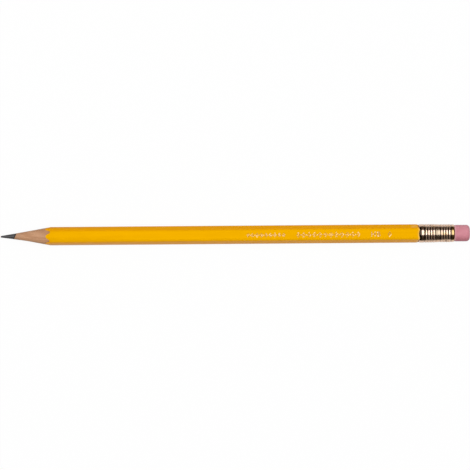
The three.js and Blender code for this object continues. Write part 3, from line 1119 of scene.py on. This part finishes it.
def add_floor():
    """A white table that takes the pencil's shadow. The gloss shows it white only near the pencil."""
    made = bpy.data.materials.new("white_table")
    made.cycles.emission_sampling = "NONE"
    graph = empty_graph(made)
    across = graph.place(Y)
    past_ends = abs(graph.place(X)) - ERASER_END_X
    far = across.most(0 - NEAR_SHARE * across).most(past_ends).rise(*WHITE_REACH)
    mirrored = ray(graph, "Is Glossy Ray")
    seen = (ray(graph, "Is Camera Ray") + ray(graph, "Is Transmission Ray") + mirrored).least(1.0)
    paint = graph.mix(ray(graph, "Is Diffuse Ray"), grey(FLOOR_ALBEDO), grey(FLOOR_BOUNCE))
    table = graph.node("ShaderNodeBsdfDiffuse", None, {"Color": paint})
    glow = graph.node("ShaderNodeEmission", None, {"Strength": 1 - (1 - FLOOR_GLOSS) * mirrored})
    dark = graph.node("ShaderNodeEmission", None, {"Color": ROOM_COLOUR, "Strength": ROOM_ENDS})
    shown = graph.node("ShaderNodeMixShader", None, {"Fac": seen * FLOOR_GLOW, 1: table, 2: glow})
    whole = graph.node("ShaderNodeMixShader", None, {"Fac": mirrored * far, 1: shown, 2: dark})
    graph.node("ShaderNodeOutputMaterial", None, {"Surface": whole})
    reach = FLOOR_HALF_SIZE
    corners = [(-reach, -reach, 0), (reach, -reach, 0), (reach, reach, 0), (-reach, reach, 0)]
    mesh = bpy.data.meshes.new("table_top")
    mesh.from_pydata(corners, [], [(0, 1, 2, 3)])
    mesh.materials.append(made)
    add_object("table_top", mesh)


def add_studio():
    """A soft dome of light, white to the eye, in a room that looks dark in the gloss."""
    world = bpy.data.worlds.new("studio")
    graph = empty_graph(world)
    direction = graph.node("ShaderNodeTexCoord", output="Generated")
    aside = 1 - abs(graph.along(direction, X))
    height = graph.along(direction, Z)
    beside = ROOM_SIDES + ROOM_FAR * graph.along(direction, Y) + ROOM_OVERHEAD * height * height
    room = ROOM_ENDS + aside * aside * beside
    mirrored = ray(graph, "Is Glossy Ray")
    seen = ray(graph, "Is Camera Ray")
    dome = DOME_RADIANCE * (1 - mirrored) * (1 - seen)
    strength = dome + seen + mirrored * room
    tint = graph.mix(mirrored, grey(1.0), ROOM_COLOUR)
    sky = graph.node("ShaderNodeBackground", None, {"Color": tint, "Strength": strength})
    graph.node("ShaderNodeOutputWorld", None, {"Surface": sky})
    scene.world = world


def add_panel(name, degrees, radiance):
    """A flat light overhead that reaches these angles to +Y, -Y and along X, as seen from the pencil."""
    far, near, side = (SOFTBOX_HEIGHT * math.tan(math.radians(angle)) for angle in degrees)
    lamp = bpy.data.lights.new(name, "AREA")
    lamp.shape = "RECTANGLE"
    lamp.size = 2 * side
    lamp.size_y = far + near
    lamp.energy = radiance * math.pi * lamp.size * lamp.size_y
    holder = add_object(name, lamp)
    holder.location = (0, (far - near) / 2, SOFTBOX_HEIGHT)
    return holder


def add_softbox():
    """The softbox that lights the pencil, and the larger bright card that its gloss shows."""
    softbox = add_panel("softbox", SOFTBOX_DEGREES, SOFTBOX_RADIANCE)
    softbox.visible_glossy = False
    softbox.data.cycles.use_multiple_importance_sampling = False
    card = add_panel("gloss_card", CARD_DEGREES, CARD_RADIANCE)
    card.visible_diffuse = False
    card.data.color = CARD_COLOUR


def add_camera():
    lens = bpy.data.cameras.new("camera")
    lens.sensor_width = SENSOR_WIDTH
    lens.lens = SENSOR_WIDTH * CAMERA_DISTANCE / (PHOTO_PIXELS * MM_PER_PIXEL)
    lens.clip_start, lens.clip_end = CAMERA_CLIP
    tilt = Matrix.Rotation(-CAMERA_TILT, 4, "X")
    roll = Matrix.Rotation(-CAMERA_ROLL, 4, "Z")
    aim = Vector((0, AIM_Y, AXIS_Z))
    back = tilt @ Vector((0, 0, CAMERA_DISTANCE))
    scene.camera = add_object("camera", lens)
    scene.camera.matrix_world = Matrix.Translation(aim + back) @ tilt @ roll


# Pencil

def add_piece(name, mesh, nodes, materials):
    made = add_object(name, mesh)
    mesh.name = name
    mesh.materials.clear()
    for finish in materials:
        mesh.materials.append(finish)
    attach(made, BODY)
    if nodes:
        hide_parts(*nodes)


add_camera()
add_floor()
add_studio()
add_softbox()
scene.view_settings.view_transform = "Standard"

case = [material(cedar), material(sealed_shoulder)]
coat = [material(yellow_lacquer), material(cut_lacquer)]
tube = material(brass)
foil = material(pale_foil)
add_piece("pencil_lead", lead_mesh(), ["graphite_core"], [material(graphite)])
add_piece("upper_half_case", slat_mesh(0.0), ["upper_slat"], case)
add_piece("lower_half_case", slat_mesh(math.pi), ["lower_slat"], case)
add_piece("seam_glue", glue_mesh(), ["glue_film"], [material(dried_glue)])
add_piece("lacquer_shell", lacquer_mesh(), ["lacquer_coat"], coat)
add_piece("ferrule_tube", ferrule_mesh(tube), ["ferrule"], [tube])
add_piece("eraser_plug", eraser_mesh(), ["eraser"], [material(pink_rubber)])
add_piece("foil_small_row", lozenge_mesh(SMALL_ROW, foil), [], [foil])
add_piece("foil_large_row", lozenge_mesh(LARGE_ROW, foil), [], [foil])
add_piece("foil_grade", grade_mesh(), [], [foil])
add_piece("foil_last_mark", lozenge_mesh(LAST_MARK, foil), [], [foil])
